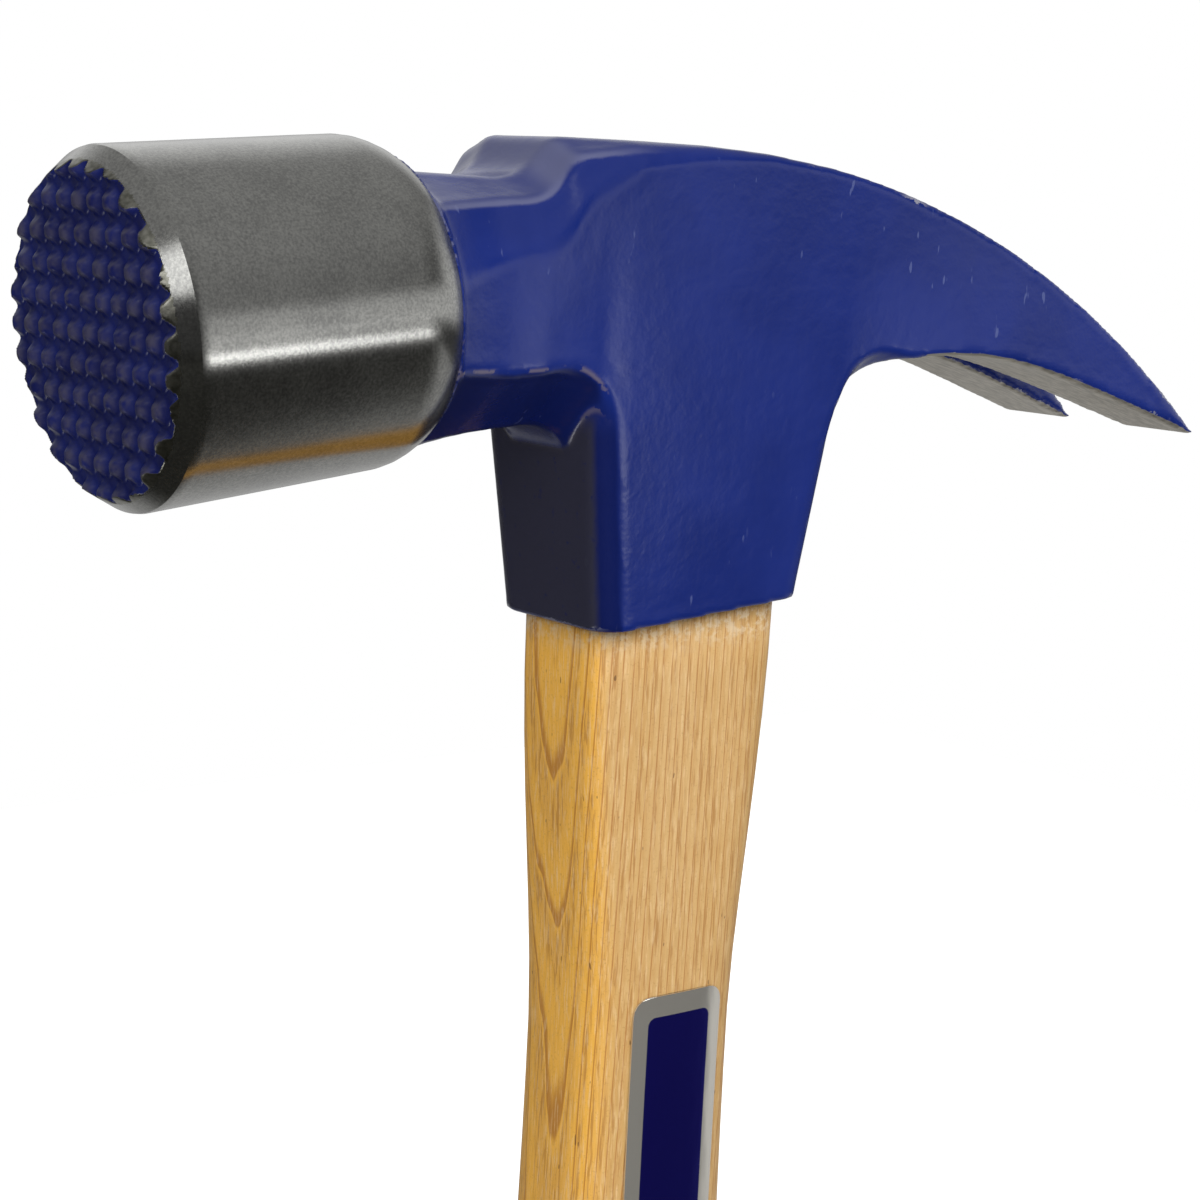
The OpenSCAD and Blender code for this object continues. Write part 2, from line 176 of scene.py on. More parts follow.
apply_modifier(forged_head, "REMESH", mode="VOXEL", voxel_size=0.44 * mm, use_smooth_shade=True)

# All of the forging is evened out a little, and the neck much more, which fades in over a short length.
neck_back = -9 * mm
neck_low = -27 * mm
fade = 6 * mm
from_centre = points_of(forged_head) - np.array(head_centre)
in_front = np.clip((neck_back - from_centre[:, 0]) / fade, 0, 1)
high_up = np.clip((from_centre[:, 2] - neck_low) / fade, 0, 1)
relax(forged_head, rounds=14)
relax(forged_head, rounds=70, share=in_front * high_up)

# The round back of the poll lies over the flared end of the neck, so that end is kept just under it. The
# points are radius and distance from the centre of the head along the poll, in millimetres.
poll_shoulder = [(11.4, 36.3), (12.9, 36.65), (14.1, 37.3), (15, 38.1), (15.65, 39.1)]
poll_shoulder += [(16.1, 40.1), (16.4, 41), (16.6, 42.2), (16.62, 43.2)]
shoulder_start = 37.9 * mm
shoulder_gap = 0.12 * mm
unlimited = 1
co = points_of(forged_head)
from_centre = co - np.array(head_centre)
along = from_centre @ np.array(poll_axis)
away = from_centre - along[:, None] * np.array(poll_axis)
radius = np.linalg.norm(away, axis=1)
shoulder_r, shoulder_along = np.array(poll_shoulder).T * mm
room = np.interp(along, shoulder_along, shoulder_r) - shoulder_gap
room = np.where(along > shoulder_start, room, unlimited)
co -= away * np.maximum(1 - room / np.maximum(radius, mm), 0)[:, None]
cad_top = cad_box[1][2]
co[:, 2] = np.minimum(co[:, 2], cad_top)
put_points(forged_head, co)
mark_edges(forged_head, "edge", spread=2)


def linear(code):
    parts = [int(code[i:i + 2], 16) / 255 for i in (1, 3, 5)]
    return [p / 12.92 if p <= 0.04045 else ((p + 0.055) / 1.055) ** 2.4 for p in parts] + [1]


def new_material(name):
    material = bpy.data.materials.new(name)
    material.use_nodes = True
    return material.node_tree, material.node_tree.nodes["Principled BSDF"]


def add(tree, kind, inputs=None, output=0, **settings):
    """Adds a node and gives one output. An input is a number, a colour or the output that feeds it."""
    node = tree.nodes.new("ShaderNode" + kind)
    for key, value in settings.items():
        setattr(node, key, value)
    for key, value in (inputs or {}).items():
        if isinstance(value, bpy.types.NodeSocket):
            tree.links.new(value, node.inputs[key])
        else:
            node.inputs[key].default_value = linear(value) if isinstance(value, str) else value
    return node.outputs[output]


def overlap(tree, *steps):
    """Where all the steps meet: each rises smoothly from none at its first limit to all at its second."""
    share = 1
    for source, none, full in steps:
        step = add(tree, "MapRange", {0: source, 1: none, 2: full}, interpolation_type="SMOOTHSTEP")
        share = add(tree, "Math", {0: share, 1: step}, operation="MULTIPLY")
    return share


def lay_over(tree, colour, layers):
    """Lays thin coats over a colour, each with its own share of the surface, strength and colour."""
    for share, strength, coat in layers:
        cover = add(tree, "Math", {0: share, 1: strength}, operation="MULTIPLY")
        colour = add(tree, "Mix", {0: cover, 6: colour, 7: coat}, 2, data_type="RGBA")
    return colour


# Baked enamel over forged steel: a deep blue with a soft orange peel of about 1.5 mm, thin grey scratches
# and pale chips along the edges. It has a painted grey sheen on top of the neck, a rubbed low edge, painted
# shade under the neck and on the socket, and a dark grey of painted shade and glare on the socket's front.
# Bare steel takes its place under the claws.
tree, enamel = new_material("blue_enamel_on_forged_steel")
place = add(tree, "TexCoord", output="Object")
from_centre = add(tree, "VectorMath", {0: place, 1: tuple(head_centre)}, operation="SUBTRACT")
axes = add(tree, "SeparateXYZ", {0: from_centre}).node.outputs
facing = add(tree, "SeparateXYZ", {0: add(tree, "NewGeometry", output="Normal")}).node.outputs
edge = add(tree, "Attribute", output="Fac", attribute_name="edge")
cloud = add(tree, "TexNoise", {"Vector": place, "Scale": 55, "Detail": 4})
peel = add(tree, "TexNoise", {"Vector": place, "Scale": 650})
grit = add(tree, "TexNoise", {"Vector": place, "Scale": 2600})
patches = add(tree, "TexNoise", {"Vector": place, "Scale": 900, "Detail": 3, "Roughness": 0.6})
rub = add(tree, "TexNoise", {"Vector": place, "Scale": 500, "Detail": 3, "Roughness": 0.6})
rough_use = add(tree, "TexNoise", {"Vector": place, "Scale": 75, "Roughness": 0.4})
scratched_part = add(tree, "TexNoise", {"Vector": place, "Scale": 120})
upright = add(tree, "VectorMath", {0: place, 1: (1, 1, 0.3)}, operation="MULTIPLY")
scratch = add(tree, "TexNoise", {"Vector": upright, "Scale": 900})
edge_wear = add(tree, "Math", {0: edge, 1: 0.55}, operation="MULTIPLY")
worn = add(tree, "Math", {0: patches, 1: 0.75, 2: edge_wear}, operation="MULTIPLY_ADD")

neck = (axes["X"], -14 * mm, -18 * mm)
socket = (axes["Z"], -12 * mm, -18 * mm)
chipped = overlap(tree, (worn, 0.7, 0.75), (axes["X"], -34 * mm, -31 * mm), (rough_use, 0.5, 0.62))
scratched = overlap(tree, (scratch, 0.675, 0.71), (scratched_part, 0.54, 0.62))
low_edge = ((facing["Z"], -0.12, -0.3), (facing["Z"], -0.5, -0.34))
rubbed = overlap(tree, (rub, 0.46, 0.52), neck, *low_edge)
# Painted sheen: a grey laid on the faces that turn up on top of the neck, standing in for a highlight.
painted_saddle_sheen = overlap(tree, (facing["Z"], 0.4, 0.54), (facing["Z"], 1, 0.6), (axes["X"], -10 * mm, -20 * mm))
# Painted shade: the faces under the neck and on the front of the socket are darkened.
shade_under_neck = overlap(tree, (facing["Z"], -0.3, -0.6), neck)
shade_on_socket_front = overlap(tree, (facing["X"], -0.1, -0.4), socket)
painted_shade = add(tree, "Math", {0: shade_on_socket_front, 1: shade_under_neck}, operation="MAXIMUM")
# Painted shade and glare: the faces of the socket that look straight forward are turned a dark grey.
painted_glare_on_front = overlap(tree, (facing["X"], -0.8, -0.97), (patches, 0.1, 0.4), socket)
two_blues = overlap(tree, (cloud, 0.35, 0.68))
blue = add(tree, "Mix", {0: two_blues, 6: "#0a1f66", 7: "#102572"}, 2, data_type="RGBA")
blue = lay_over(tree, blue, (
    (scratched, 0.5, "#5c6796"),
    (rubbed, 0.7, "#6f6670"),
    (painted_saddle_sheen, 0.5, "#75778e"),
    (painted_shade, 0.65, "#040a38"),
    (painted_glare_on_front, 0.85, "#302f38"),
    (chipped, 1, "#8a8a96"),
))

ground = overlap(tree, (facing["Z"], -0.45, -0.6), (axes["X"], 28.2 * mm, 28.6 * mm))
lengthwise = add(tree, "VectorMath", {0: place, 1: (0.06, 1, 1)}, operation="MULTIPLY")
brushing = add(tree, "TexNoise", {"Vector": lengthwise, "Scale": 1800, "Detail": 3, "Roughness": 0.6})
brushed = overlap(tree, (brushing, 0.3, 0.7))
steel = add(tree, "Mix", {0: brushed, 6: "#9a958a", 7: "#c2bcb0"}, 2, data_type="RGBA")
colour = add(tree, "Mix", {0: ground, 6: blue, 7: steel}, 2, data_type="RGBA")
tree.links.new(colour, enamel.inputs["Base Color"])
metal = add(tree, "Math", {0: ground, 1: 0.85}, operation="MULTIPLY")
tree.links.new(metal, enamel.inputs["Metallic"])
blurred = add(tree, "Math", {0: cloud, 1: 0.14, 2: 0.17}, operation="MULTIPLY_ADD")
bare = add(tree, "Math", {0: ground, 1: chipped}, operation="MAXIMUM")
blurred = add(tree, "Math", {0: bare, 1: 0.2, 2: blurred}, operation="MULTIPLY_ADD")
tree.links.new(blurred, enamel.inputs["Roughness"])
enamel.inputs["Specular IOR Level"].default_value = 0.45
relief = add(tree, "Math", {0: peel, 1: 0.6}, operation="MULTIPLY")
relief = add(tree, "Math", {0: grit, 1: 0.06, 2: relief}, operation="MULTIPLY_ADD")
relief = add(tree, "Math", {0: chipped, 1: -0.25, 2: relief}, operation="MULTIPLY_ADD")
bump = add(tree, "Bump", {"Strength": 0.5, "Distance": 0.12 * mm, "Height": relief})
tree.links.new(bump, enamel.inputs["Normal"])
forged_head.data.materials.append(bpy.data.materials["blue_enamel_on_forged_steel"])
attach(forged_head, "root")
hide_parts("head")

# The poll: the round striking end of the same forging, belt-ground bare after painting and then cleared
# with lacquer. Its back is rounded over, its side widens a little towards the face, and a bevel is ground
# round that.
poll_reach = 70.2 * mm
poll_r = 17.18 * mm
bevel_in = 2 * mm
bevel_back = 2.8 * mm
ring_inner = poll_r - bevel_in + 0.75 * mm
ring_step = 0.1 * mm
ring_sunk = 1.4 * mm
core_r = 4 * mm
core_along = poll_shoulder[0][1] * mm
poll_profile = poll_shoulder + [(16.7, 46), (16.95, 57), (17.16, 66.4), (17.18, 67.1), (17.1, 67.5)]


def on_bevel(radius):
    return poll_reach - (radius - poll_r + bevel_in) * bevel_back / bevel_in


def onto_poll_axis(piece):
    """Turns a piece that was drawn upright round Z, with its face up, onto the axis of the poll."""
    turn = poll_axis.to_track_quat("Z", "Y").to_matrix().to_4x4()
    piece.data.transform(Matrix.Translation(head_centre) @ turn)
    piece.data.update()


bpy.ops.mesh.primitive_circle_add(
    vertices=144, radius=core_r, location=(0, 0, core_along), fill_type="TRIFAN"
)
ground_poll = bpy.context.object
ground_poll.name = "ground_poll"
bpy.ops.object.transform_apply(location=True, rotation=False, scale=False)
ring_floor = on_bevel(ring_inner) - ring_sunk
outline = [(r * mm, along * mm) for r, along in poll_profile]
outline += [(ring_inner, on_bevel(ring_inner)), (ring_inner - ring_step, ring_floor), (core_r, ring_floor)]
bpy.ops.object.mode_set(mode="EDIT")
bpy.ops.mesh.select_all(action="DESELECT")
bpy.ops.mesh.select_mode(type="EDGE")
bpy.ops.mesh.select_non_manifold()
last_r, last_z = core_r, core_along
for r, z in outline:
    bpy.ops.mesh.extrude_edges_move(TRANSFORM_OT_translate={"value": (0, 0, z - last_z)})
    bpy.ops.transform.resize(value=(r / last_r, r / last_r, 1), center_override=(0, 0, z))
    last_r, last_z = r, z
bpy.ops.mesh.edge_face_add()
bpy.ops.mesh.select_all(action="SELECT")
bpy.ops.mesh.normals_make_consistent(inside=False)
bpy.ops.object.mode_set(mode="OBJECT")
take_up(ground_poll)
bpy.ops.object.shade_smooth_by_angle(angle=math.radians(22))
onto_poll_axis(ground_poll)

# Ground tool steel under clear lacquer: a neutral grey with an olive cast. The lines of the belt run round
# the poll, about 0.3 mm apart, and drag the light out across them into bands along the poll.
tree, ground_steel = new_material("belt_ground_steel")
place = add(tree, "TexCoord", output="Object")
from_centre = add(tree, "VectorMath", {0: place, 1: tuple(head_centre)}, operation="SUBTRACT")
place = add(tree, "Mapping", {0: from_centre, "Rotation": (0, math.pi / 2 + poll_droop, 0)})
round_it = add(tree, "VectorMath", {0: place, 1: (0.2, 0.2, 1)}, operation="MULTIPLY")
lines = add(tree, "TexNoise", {"Vector": round_it, "Scale": 3200, "Detail": 3, "Roughness": 0.62})
blotch = add(tree, "TexNoise", {"Vector": place, "Scale": 200, "Detail": 3, "Roughness": 0.6})
fine = add(tree, "TexNoise", {"Vector": place, "Scale": 3600, "Roughness": 0.6})
shade = add(tree, "Math", {0: lines, 1: 0.15}, operation="MULTIPLY")
shade = add(tree, "Math", {0: blotch, 1: 0.25, 2: shade}, operation="MULTIPLY_ADD")
shade = add(tree, "Math", {0: fine, 1: 0.6, 2: shade}, operation="MULTIPLY_ADD")
two_greys = overlap(tree, (shade, 0.32, 0.68))
steel = add(tree, "Mix", {0: two_greys, 6: "#858583", 7: "#a9a9a5"}, 2, data_type="RGBA")
tree.links.new(steel, ground_steel.inputs["Base Color"])
ground_steel.inputs["Metallic"].default_value = 1
blurred = add(tree, "Math", {0: shade, 1: 0.12, 2: 0.16}, operation="MULTIPLY_ADD")
tree.links.new(blurred, ground_steel.inputs["Roughness"])
ground_steel.inputs["Anisotropic"].default_value = 0.7
normal = add(tree, "NewGeometry", output="Normal")
round_poll = add(tree, "VectorMath", {0: tuple(poll_axis), 1: normal}, operation="CROSS_PRODUCT")
along_poll = add(tree, "VectorMath", {0: normal, 1: round_poll}, operation="CROSS_PRODUCT")
tree.links.new(along_poll, ground_steel.inputs["Tangent"])
relief = add(tree, "Math", {0: lines, 1: 0.5}, operation="MULTIPLY")
relief = add(tree, "Math", {0: fine, 1: 0.5, 2: relief}, operation="MULTIPLY_ADD")
bump = add(tree, "Bump", {"Strength": 0.2, "Distance": 0.02 * mm, "Height": relief})
tree.links.new(bump, ground_steel.inputs["Normal"])
ground_poll.data.materials.append(bpy.data.materials["belt_ground_steel"])
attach(ground_poll, "root")
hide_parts("head")

# The milled face: rows of grooves cut both ways across the end of the poll leave square blunt teeth, which
# are painted. The bevel is ground after that, so it cuts the outer teeth off in a ragged line and leaves
# them bare.
tooth_pitch = 3.05 * mm
half_pitch = tooth_pitch / 2
half_flat = 0.2625 * mm
tooth_depth = 1 * mm
roundness = 0.75
face_cells = 168
face_overlap = 0.3 * mm
bpy.ops.mesh.primitive_grid_add(
    x_subdivisions=face_cells,
    y_subdivisions=face_cells,
    size=2 * (ring_inner + face_overlap),
    location=(0, 0, 0),
)
milled_face = bpy.context.object
milled_face.name = "milled_face"
co = points_of(milled_face)
radius = np.hypot(co[:, 0], co[:, 1])


def groove(across):
    from_tooth = np.abs(across - np.round(across / tooth_pitch) * tooth_pitch)
    down = np.clip((from_tooth - half_flat) / (half_pitch - half_flat), 0, 1)
    return (1 - np.cos(down * math.pi)) / 2 * roundness + down * (1 - roundness)


# The corners of the square grid are drawn in to its rim, which ends just under the ring of the poll.
rim_r = ring_inner + 0.12 * mm
rim_sunk = 0.02 * mm
cut = np.minimum(np.hypot(groove(co[:, 0]), groove(co[:, 1])), 1)
teeth = poll_reach - cut * tooth_depth
co[:, 2] = np.minimum(teeth, on_bevel(radius))
co[:, :2] /= np.maximum(radius / rim_r, 1)[:, None]
co[:, 2] = np.where(radius > rim_r, on_bevel(rim_r) - rim_sunk, co[:, 2])
put_points(milled_face, co)
take_up(milled_face)
bpy.ops.object.mode_set(mode="EDIT")
bpy.ops.mesh.select_all(action="SELECT")
bpy.ops.mesh.remove_doubles(threshold=0.03 * mm)
bpy.ops.mesh.dissolve_degenerate(threshold=0.01 * mm)
bpy.ops.mesh.select_all(action="DESELECT")
bpy.ops.mesh.select_mode(type="EDGE")
bpy.ops.mesh.select_non_manifold()
bpy.ops.mesh.extrude_edges_move(TRANSFORM_OT_translate={"value": (0, 0, -1 * mm)})
bpy.ops.mesh.edge_face_add()
bpy.ops.mesh.select_all(action="SELECT")
bpy.ops.mesh.normals_make_consistent(inside=False)
bpy.ops.object.mode_set(mode="OBJECT")
take_up(milled_face)
bpy.ops.object.shade_smooth_by_angle(angle=math.radians(50))
co = points_of(milled_face)
under_bevel = on_bevel(np.hypot(co[:, 0], co[:, 1])) - co[:, 2]
under_tops = poll_reach - co[:, 2]
for name, below, reach in (("bare", under_bevel, 0.08 * mm), ("tooth_top", under_tops, tooth_depth)):
    layer = milled_face.data.attributes.new(name, "FLOAT", "POINT")
    layer.data.foreach_set("value", np.clip(1 - below / reach, 0, 1).astype(np.float32))
onto_poll_axis(milled_face)

# The same enamel, coloured darker here than on the head as painted shade. The tops of the teeth are grey,
# partly where it has rubbed thin and partly as painted highlight, so the grooves stay dark as painted
# shade.
# The bevel round them is bare ground steel.
tree, tooth_paint = new_material("enamel_on_milled_teeth")
place = add(tree, "TexCoord", output="Object")
bare = overlap(tree, (add(tree, "Attribute", output="Fac", attribute_name="bare"), 0.4, 0.6))
tooth_top = add(tree, "Attribute", output="Fac", attribute_name="tooth_top")
rub = add(tree, "TexNoise", {"Vector": place, "Scale": 700, "Detail": 3, "Roughness": 0.6})
cloud = add(tree, "TexNoise", {"Vector": place, "Scale": 300, "Detail": 3})
brushing = add(tree, "TexNoise", {"Vector": place, "Scale": 1500, "Detail": 3})
peel = add(tree, "TexNoise", {"Vector": place, "Scale": 900, "Detail": 3})
# Partly painted light: the grey follows the height of each tooth, so the tops read lit and the grooves
# shaded.
rubbed = overlap(tree, (tooth_top, 0.25, 0.9), (rub, 0.3, 0.65))
two_blues = overlap(tree, (cloud, 0.35, 0.65))
# Painted shade: these blues are darker than the same enamel on the head.
blue = add(tree, "Mix", {0: two_blues, 6: "#0a1147", 7: "#101a58"}, 2, data_type="RGBA")
blue = lay_over(tree, blue, ((rubbed, 0.75, "#403d4e"),))
brushed = overlap(tree, (brushing, 0.3, 0.7))
steel = add(tree, "Mix", {0: brushed, 6: "#6d6d64", 7: "#94938a"}, 2, data_type="RGBA")
colour = add(tree, "Mix", {0: bare, 6: blue, 7: steel}, 2, data_type="RGBA")
tree.links.new(colour, tooth_paint.inputs["Base Color"])
tree.links.new(bare, tooth_paint.inputs["Metallic"])
blurred = add(tree, "Math", {0: rubbed, 1: 0.15, 2: 0.3}, operation="MULTIPLY_ADD")
tree.links.new(blurred, tooth_paint.inputs["Roughness"])
bump = add(tree, "Bump", {"Strength": 0.4, "Distance": 0.08 * mm, "Height": peel})
tree.links.new(bump, tooth_paint.inputs["Normal"])
milled_face.data.materials.append(bpy.data.materials["enamel_on_milled_teeth"])
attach(milled_face, "root")
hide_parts("head")

# The handle: one length of hickory, shaped on a copying lathe and sanded, with a clear lacquer. It is
# nearly square under the head and oval lower down, its top fills the eye, and the end of its grip flares.
wooden_handle = start_from_solid("wooden_handle", "handle")
bpy.ops.object.shade_smooth_by_angle(angle=math.radians(38))

# Hickory: honey brown with yearly rings about 1.25 mm apart that lie flat to the front, so they draw
# straight lines down the sides and tall arches on the front. Open pores show as short dark dashes along the
# grain, and the wood is frayed pale where the mouth of the socket has scraped it.
tree, hickory = new_material("lacquered_hickory")
ring_distance = 1.25 * mm
place = add(tree, "TexCoord", output="Object")
axes = add(tree, "SeparateXYZ", {0: place}).node.outputs
facing = add(tree, "SeparateXYZ", {0: add(tree, "NewGeometry", output="Normal")}).node.outputs
grain = {}
for name, along_grain, per_metre, detail, rough in (
    ("sway", 0.14, 30, 2, 0.5),
    ("ripple", 0.05, 260, 2, 0.5),
    ("pores", 0.07, 2600, 2, 0.6),
    ("fibre", 0.08, 4200, 3, 0.6),
    ("mottle", 1, 3400, 2, 0.6),
    ("broad", 0.1, 70, 3, 0.5),
    ("specks", 0.35, 1500, 1, 0.3),
    ("torn", 1, 900, 4, 0.7),
):
    drawn_out = add(tree, "VectorMath", {0: place, 1: (1, 1, along_grain)}, operation="MULTIPLY")
    settings = {"Vector": drawn_out, "Scale": per_metre, "Detail": detail, "Roughness": rough}
    grain[name] = add(tree, "TexNoise", settings)
square = add(tree, "Math", {0: axes["Y"], 1: axes["Y"]}, operation="MULTIPLY")
depth = axes["X"]
lean = -0.02
for source, share in ((square, 45), (grain["sway"], 0.006), (grain["ripple"], 0.0008), (axes["Z"], lean)):
    depth = add(tree, "Math", {0: source, 1: share, 2: depth}, operation="MULTIPLY_ADD")
year = add(tree, "Math", {0: depth, 1: 1 / ring_distance}, operation="MULTIPLY")
within = add(tree, "Math", {0: year}, operation="FRACT")
late = overlap(tree, (within, 0.8, 0.93), (within, 1, 0.97))
early = overlap(tree, (within, 0.62, 0.2), (within, 0, 0.08))
front = overlap(tree, (facing["X"], -0.35, -0.95))
more_early = add(tree, "Math", {0: 0.25, 1: early}, operation="ADD", use_clamp=True)
dashes = overlap(tree, (grain["pores"], 0.5, 0.62))
dashes = add(tree, "Math", {0: dashes, 1: more_early}, operation="MULTIPLY")
frayed = overlap(tree, (axes["Z"], 351 * mm, 355 * mm), (grain["torn"], 0.46, 0.6))
two_browns = overlap(tree, (grain["broad"], 0.3, 0.7))
wood = add(tree, "Mix", {0: two_browns, 6: "#d2ac74", 7: "#c69d5e"}, 2, data_type="RGBA")
wood = lay_over(tree, wood, (
    (front, 1, "#e9ae43"),
    (early, 0.3, "#b98545"),
    (late, 0.7, "#a1611f"),
    (dashes, 0.5, "#9a6326"),
    (overlap(tree, (grain["fibre"], 0.48, 0.72)), 0.5, "#e6c898"),
    (overlap(tree, (grain["mottle"], 0.55, 0.75)), 0.3, "#9d7034"),
    (overlap(tree, (grain["specks"], 0.78, 0.8)), 0.6, "#4a2f1a"),
    (frayed, 0.6, "#dccdb0"),
))
tree.links.new(wood, hickory.inputs["Base Color"])
blurred = add(tree, "Math", {0: grain["fibre"], 1: 0.12, 2: 0.5}, operation="MULTIPLY_ADD")
tree.links.new(blurred, hickory.inputs["Roughness"])
hickory.inputs["Coat Weight"].default_value = 0.1
hickory.inputs["Coat Roughness"].default_value = 0.3
relief = add(tree, "Math", {0: grain["fibre"], 1: dashes}, operation="SUBTRACT")
relief = add(tree, "Math", {0: relief, 1: 0.4}, operation="MULTIPLY")
bump = add(tree, "Bump", {"Strength": 0.35, "Distance": 0.08 * mm, "Height": relief})
tree.links.new(bump, hickory.inputs["Normal"])
wooden_handle.data.materials.append(bpy.data.materials["lacquered_hickory"])
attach(wooden_handle, "root")
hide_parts("handle")

# The label: a strip of mirror foil with round corners, glued to the side of the handle. It follows the wood
# with small wrinkles, and a field of metallic blue ink leaves a bare silver margin. It carries no words.
foil_label = start_from_solid("foil_label", "handle_label")
bpy.ops.object.shade_smooth_by_angle(angle=math.radians(35))
label_low, label_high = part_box("handle_label")
margin_side = 1.9 * mm
margin_end = 2.4 * mm
corner = 1 * mm
ink_edge = 0.05 * mm
half_w = (label_high.x - label_low.x) / 2 - margin_side - corner
half_l = (label_high.z - label_low.z) / 2 - margin_end - corner
middle_z = (label_high.z + label_low.z) / 2
tree, foil = new_material("mirror_foil_with_blue_ink")
place = add(tree, "TexCoord", output="Object")
axes = add(tree, "SeparateXYZ", {0: place}).node.outputs


def beyond(source, middle, half):
    """How far a point of the label lies beyond the straight part of the ink's edge."""
    off = add(tree, "Math", {0: source, 1: middle}, operation="SUBTRACT")
    off = add(tree, "Math", {0: off}, operation="ABSOLUTE")
    off = add(tree, "Math", {0: off, 1: half}, operation="SUBTRACT")
    return add(tree, "Math", {0: off, 1: 0}, operation="MAXIMUM")


beyond_side = beyond(axes["X"], 0, half_w)
beyond_end = beyond(axes["Z"], middle_z, half_l)
off_corner = add(tree, "CombineXYZ", {0: beyond_side, 1: beyond_end})
from_corner = add(tree, "VectorMath", {0: off_corner}, "Value", operation="LENGTH")
inked = overlap(tree, (from_corner, corner + ink_edge, corner - ink_edge))
colour = add(tree, "Mix", {0: inked, 6: "#d8d4cb", 7: "#1e1b78"}, 2, data_type="RGBA")
tree.links.new(colour, foil.inputs["Base Color"])
foil.inputs["Metallic"].default_value = 0.78
blurred = add(tree, "Math", {0: inked, 1: 0.12, 2: 0.1}, operation="MULTIPLY_ADD")
tree.links.new(blurred, foil.inputs["Roughness"])
upright = add(tree, "VectorMath", {0: place, 1: (1, 1, 0.35)}, operation="MULTIPLY")
wrinkle = add(tree, "TexNoise", {"Vector": upright, "Scale": 260})
bump = add(tree, "Bump", {"Strength": 0.4, "Distance": 0.25 * mm, "Height": wrinkle})
tree.links.new(bump, foil.inputs["Normal"])
foil_label.data.materials.append(bpy.data.materials["mirror_foil_with_blue_ink"])
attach(foil_label, "root")
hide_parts("handle_label")

# The wooden wedge: a slip of hardwood along the eye, driven into the sawn top of the handle, with its end
# grain up. It keeps the solid's own mesh.
tree, wedge_wood = new_material("hardwood_end_grain")
place = add(tree, "TexCoord", output="Object")
lengthwise = add(tree, "VectorMath", {0: place, 1: (0.3, 1, 1)}, operation="MULTIPLY")
rays_of_grain = add(tree, "TexNoise", {"Vector": lengthwise, "Scale": 900, "Detail": 3, "Roughness": 0.6})
two_browns = overlap(tree, (rays_of_grain, 0.35, 0.65))
colour = add(tree, "Mix", {0: two_browns, 6: "#a87d4c", 7: "#7d5a33"}, 2, data_type="RGBA")
tree.links.new(colour, wedge_wood.inputs["Base Color"])
wedge_wood.inputs["Roughness"].default_value = 0.7
bump = add(tree, "Bump", {"Strength": 0.4, "Distance": 0.1 * mm, "Height": rays_of_grain})
tree.links.new(bump, wedge_wood.inputs["Normal"])
wood_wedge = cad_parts["wood_wedge"]
wood_wedge.data.materials.clear()
wood_wedge.data.materials.append(bpy.data.materials["hardwood_end_grain"])

# The steel wedges: two slips stamped from mild steel, driven in across the wooden one to spread the wood.
# Their edges are slightly rounded by the stamping.
edge_round = 0.15 * mm
sharp = math.radians(40)
tree, wedge_steel = new_material("stamped_mild_steel")
place = add(tree, "TexCoord", output="Object")
hammered = add(tree, "TexNoise", {"Vector": place, "Scale": 600, "Detail": 3, "Roughness": 0.6})
two_greys = overlap(tree, (hammered, 0.35, 0.65))
colour = add(tree, "Mix", {0: two_greys, 6: "#77777a", 7: "#9c9b98"}, 2, data_type="RGBA")
tree.links.new(colour, wedge_steel.inputs["Base Color"])
wedge_steel.inputs["Metallic"].default_value = 1
wedge_steel.inputs["Roughness"].default_value = 0.42
bump = add(tree, "Bump", {"Strength": 0.5, "Distance": 0.1 * mm, "Height": hammered})
tree.links.new(bump, wedge_steel.inputs["Normal"])
for side in ("front", "rear"):
    wedge = start_from_solid("stamped_wedge_" + side, "steel_wedge_" + side)
    apply_modifier(wedge, "BEVEL", width=edge_round, segments=2, limit_method="ANGLE", angle_limit=sharp)
    take_up(wedge)
    bpy.ops.object.shade_smooth_by_angle(angle=sharp)
    wedge.data.materials.append(bpy.data.materials["stamped_mild_steel"])
    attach(wedge, "root")
    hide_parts("steel_wedge_" + side)

# The floor: a plain sheet that takes the soft shadow of the hammer. The camera sees it go from grey near
# the hammer to white, and mirror surfaces see it dark, but for a paler part at the far right.
floor_size = 2.4
deselect_all()
bpy.ops.mesh.primitive_grid_add(x_subdivisions=8, y_subdivisions=8, size=floor_size, location=(0, 0, 0))
floor = bpy.context.object
floor.name = "floor"
tree, paper = new_material("pale_floor")
paper.inputs["Roughness"].default_value = 0.9
rays = add(tree, "LightPath").node.outputs
mirror = rays["Is Glossy Ray"]
place = add(tree, "TexCoord", output="Object")
spot = add(tree, "SeparateXYZ", {0: place}).node.outputs
to_far_right = add(tree, "Math", {0: spot["X"], 1: spot["Y"]}, operation="ADD")
pale_part = overlap(tree, (to_far_right, 0.05, 0.35), (spot["X"], -0.4, 0.2))
pale_part = add(tree, "Math", {0: pale_part, 1: 0.4}, operation="MULTIPLY")
dark_part = add(tree, "Math", {0: 1, 1: pale_part}, operation="SUBTRACT")
mirrored_dark = add(tree, "Math", {0: mirror, 1: dark_part}, operation="MULTIPLY")
mirrored_pale = add(tree, "Math", {0: mirror, 1: pale_part}, operation="MULTIPLY")
colour = add(tree, "Mix", {0: mirrored_dark, 6: "#a6a6a6", 7: "#2e2e2a"}, 2, data_type="RGBA")
tree.links.new(colour, paper.inputs["Base Color"])
seen = add(tree, "Math", {0: rays["Is Camera Ray"], 1: rays["Is Transmission Ray"]}, operation="MAXIMUM")
seen = add(tree, "Math", {0: seen, 1: mirrored_pale}, operation="MAXIMUM")
distance = add(tree, "VectorMath", {0: place}, "Value", operation="LENGTH")
far = overlap(tree, (distance, 0.1, 0.42))
